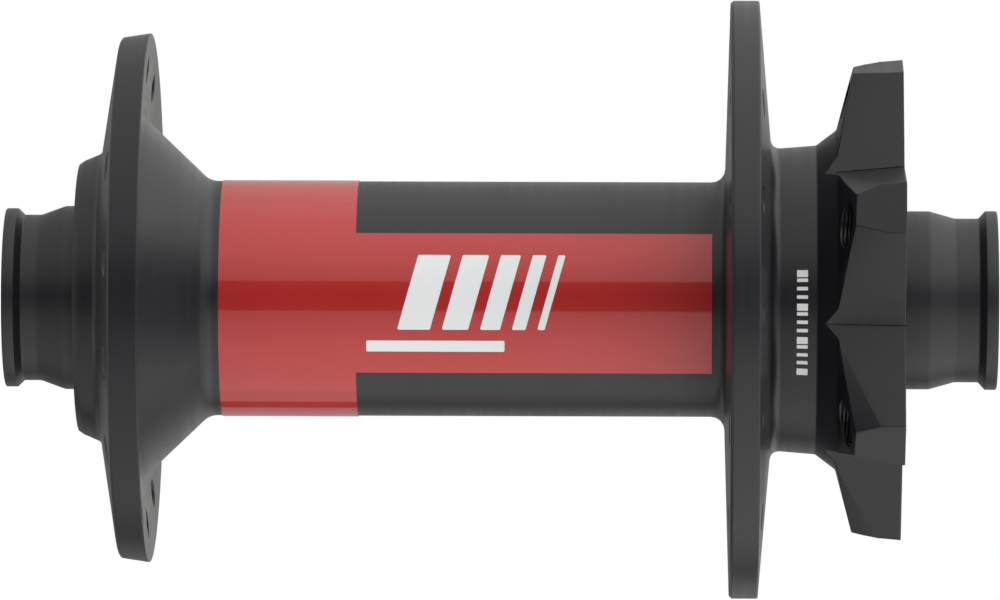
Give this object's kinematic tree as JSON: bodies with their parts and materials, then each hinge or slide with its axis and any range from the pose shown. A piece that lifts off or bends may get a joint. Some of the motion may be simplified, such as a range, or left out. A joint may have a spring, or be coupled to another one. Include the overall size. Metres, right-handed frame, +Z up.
{
  "type": "bicycle hub assembly",
  "caption": "Front disc-brake bicycle hub for a 15 mm thru axle: spoke flanges, rotor mount, cartridge bearings and pull-off end caps on an inner axle.",
  "frame": {"origin": "on the hub's axis, midway between the two end faces", "axes": "+Y along the axis towards the disc side, which is the rider's left; +X the way the bicycle travels; +Z up"},
  "size_m": [0.0664, 0.11, 0.0664],
  "materials": {
    "shell_anodised": "satin black anodised",
    "cap_anodised": "satin black anodised",
    "decal_film": "gloss metallic red film",
    "white_ink": "satin white print",
    "axle_alloy": "clear anodised, fine turned",
    "bearing_steel": "ground steel",
    "ball_steel": "polished steel",
    "cage_nylon": "moulded nylon",
    "seal_rubber": "moulded rubber",
    "o_ring_rubber": "smooth rubber"
  },
  "bodies": {
    "axle": {"axle_tube": "axle_alloy", "plain_bearing_inner_race": "bearing_steel", "disc_bearing_inner_race": "bearing_steel"},
    "shell": {"hub_shell": "shell_anodised", "shell_decal": "decal_film", "decal_print": "white_ink", "neck_print": "white_ink", "plain_bearing_outer_race": "bearing_steel", "plain_bearing_outer_seal": "seal_rubber", "plain_bearing_inner_seal": "seal_rubber", "disc_bearing_outer_race": "bearing_steel", "disc_bearing_outer_seal": "seal_rubber", "disc_bearing_inner_seal": "seal_rubber"},
    "plain_cage": {"plain_bearing_cage": "cage_nylon", "plain_bearing_balls": "ball_steel"},
    "disc_cage": {"disc_bearing_cage": "cage_nylon", "disc_bearing_balls": "ball_steel"},
    "plain_cap": {"plain_end_cap": "cap_anodised", "plain_cap_o_ring": "o_ring_rubber"},
    "disc_cap": {"disc_end_cap": "cap_anodised", "disc_cap_o_ring": "o_ring_rubber"}
  },
  "joints": [
    {"name": "shell_spin", "type": "hinge", "parent": "axle", "child": "shell", "pos_m": [0, 0, 0], "axis": [0, 1, 0], "continuous": true},
    {"name": "plain_cage_spin", "type": "hinge", "parent": "axle", "child": "plain_cage", "pos_m": [0, -0.0435, 0], "axis": [0, 1, 0], "continuous": true},
    {"name": "disc_cage_spin", "type": "hinge", "parent": "axle", "child": "disc_cage", "pos_m": [0, 0.041, 0], "axis": [0, 1, 0], "continuous": true},
    {"name": "plain_cap_pull", "type": "slide", "parent": "axle", "child": "plain_cap", "axis": [0, -1, 0], "range_m": [0, 0.015]},
    {"name": "disc_cap_pull", "type": "slide", "parent": "axle", "child": "disc_cap", "axis": [0, 1, 0], "range_m": [0, 0.015]}
  ],
  "couplings": [
    {"joint": "plain_cage_spin", "follows": "shell_spin", "ratio": 0.5647},
    {"joint": "disc_cage_spin", "follows": "shell_spin", "ratio": 0.5647}
  ]
}
